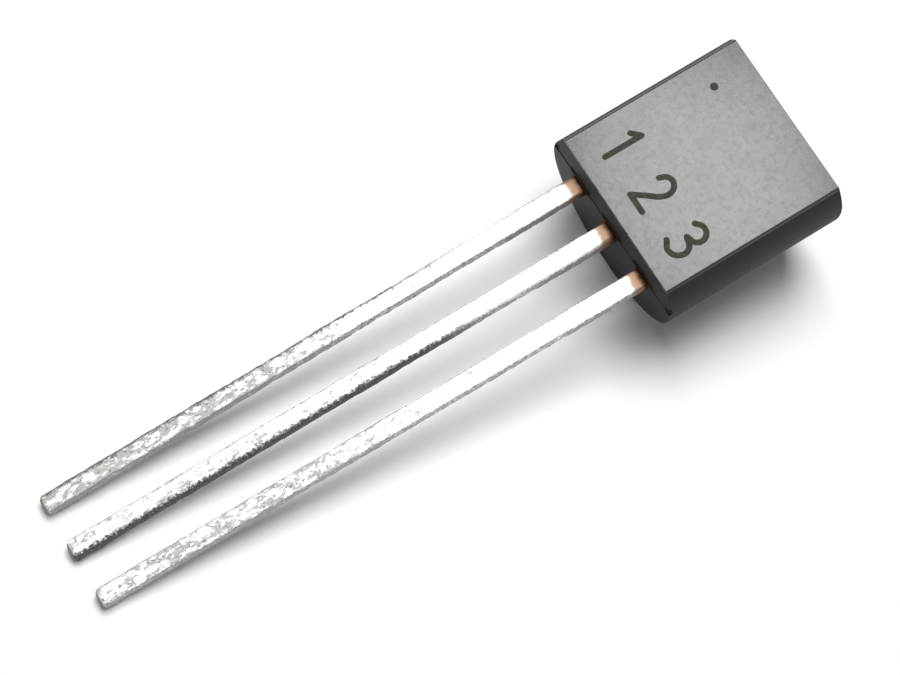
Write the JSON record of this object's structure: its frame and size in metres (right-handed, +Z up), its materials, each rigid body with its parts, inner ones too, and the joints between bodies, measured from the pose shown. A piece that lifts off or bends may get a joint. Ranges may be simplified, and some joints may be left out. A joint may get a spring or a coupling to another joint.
{
  "type": "TO-92 transistor",
  "caption": "Small black moulded transistor with a flat front, a round back and straight tinned leads in a row, lying on its back.",
  "frame": {"origin": "on the table, under the middle of the whole length, with the package's middle plane at X = 0", "axes": "+Z up from the table; -Y towards the lead tips; +X from the emitter lead to the collector lead. The marked flat faces up, leaning 9.16 degrees towards -Y as the part rests"},
  "size_m": [0.0046, 0.0184, 0.0041],
  "materials": {
    "case_epoxy": "satin",
    "tinned_copper": "satin",
    "silicon": "polished",
    "die_bond": "matte",
    "bond_gold": "polished"
  },
  "bodies": {
    "root": {"moulded_case": "case_epoxy", "emitter_lead": "tinned_copper", "base_lead": "tinned_copper", "collector_lead": "tinned_copper", "transistor_die": "silicon", "die_attach": "die_bond", "emitter_bond_wire": "bond_gold", "base_bond_wire": "bond_gold"}
  },
  "joints": []
}
